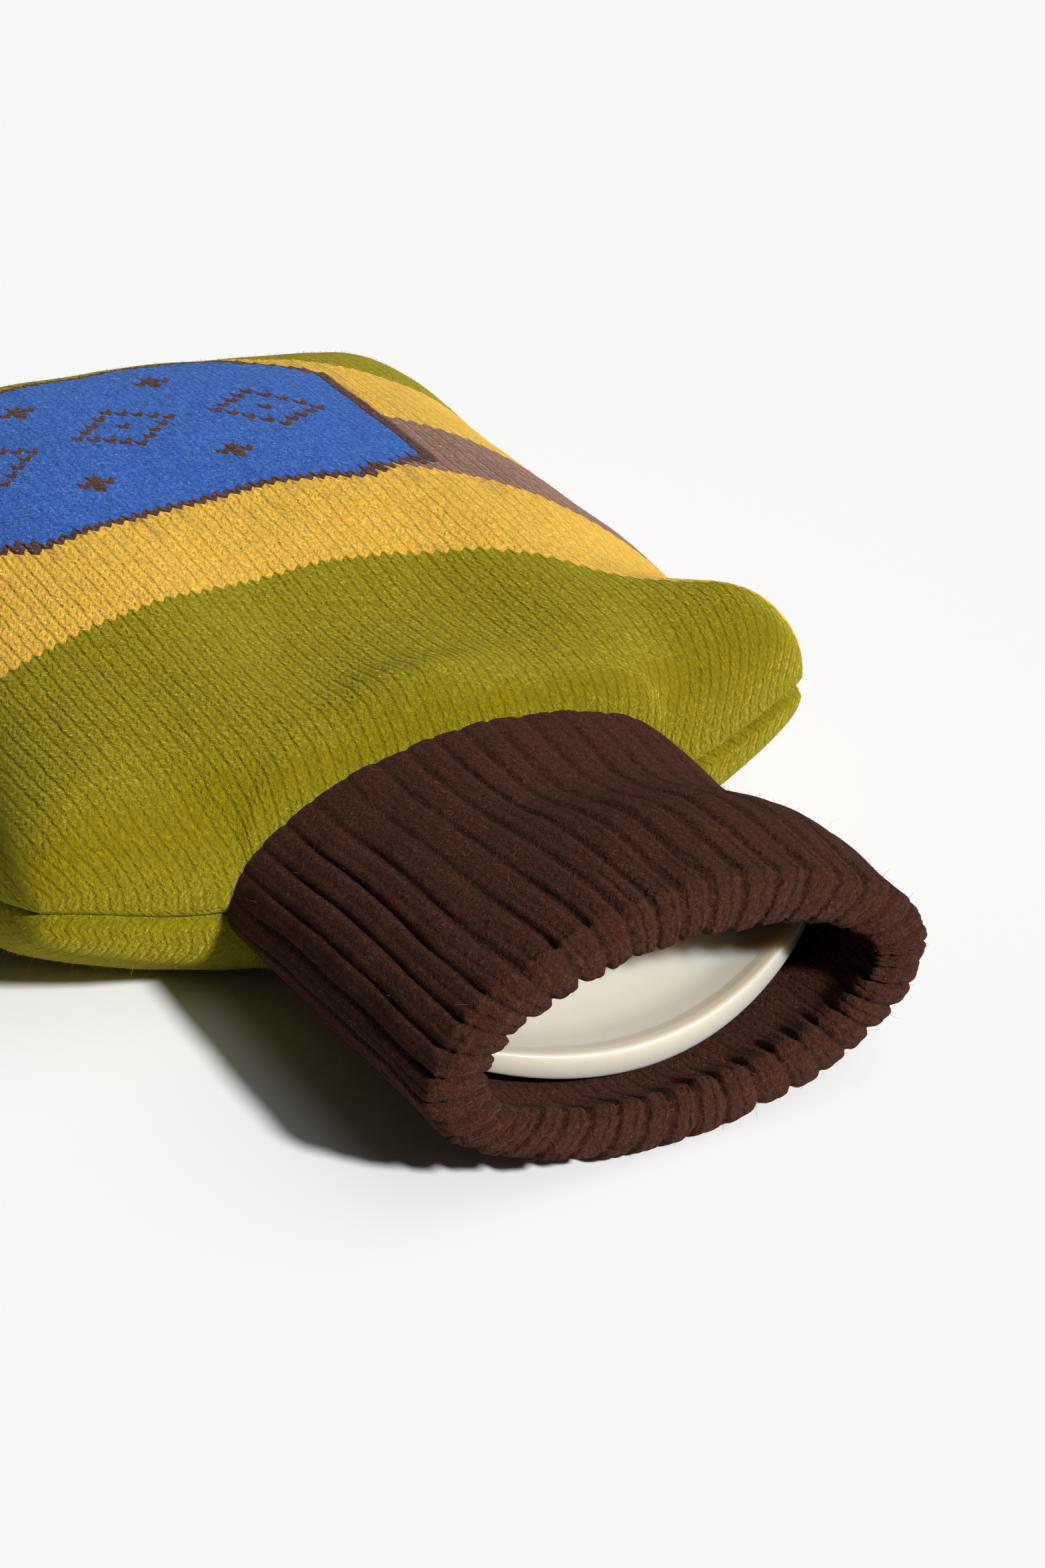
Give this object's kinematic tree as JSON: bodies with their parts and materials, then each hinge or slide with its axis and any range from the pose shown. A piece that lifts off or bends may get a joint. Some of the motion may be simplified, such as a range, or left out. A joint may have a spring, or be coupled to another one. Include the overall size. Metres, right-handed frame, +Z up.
{
  "type": "hot water bottle in a knitted cover",
  "caption": "Plump hot water bottle in a felted knitted cover lying on its back, with a turned-down rib polo neck and the bottle's collar showing in the mouth.",
  "frame": {"origin": "on the floor, under the middle of the whole length and width", "axes": "+Z up, -Y the way the neck points, X across the bag"},
  "size_m": [0.2234, 0.3407, 0.08],
  "materials": {
    "front_panel": "felted lambswool stockinette, soft and matt",
    "back_panel": "felted lambswool stockinette, soft and matt",
    "neck_rib": "felted two by two rib, soft and matt",
    "bottle": "smooth cream rubber with a satin sheen"
  },
  "bodies": {
    "root": {"front_panel": "front_panel", "back_panel": "back_panel", "neck_rib": "neck_rib", "bottle": "bottle"}
  },
  "joints": []
}
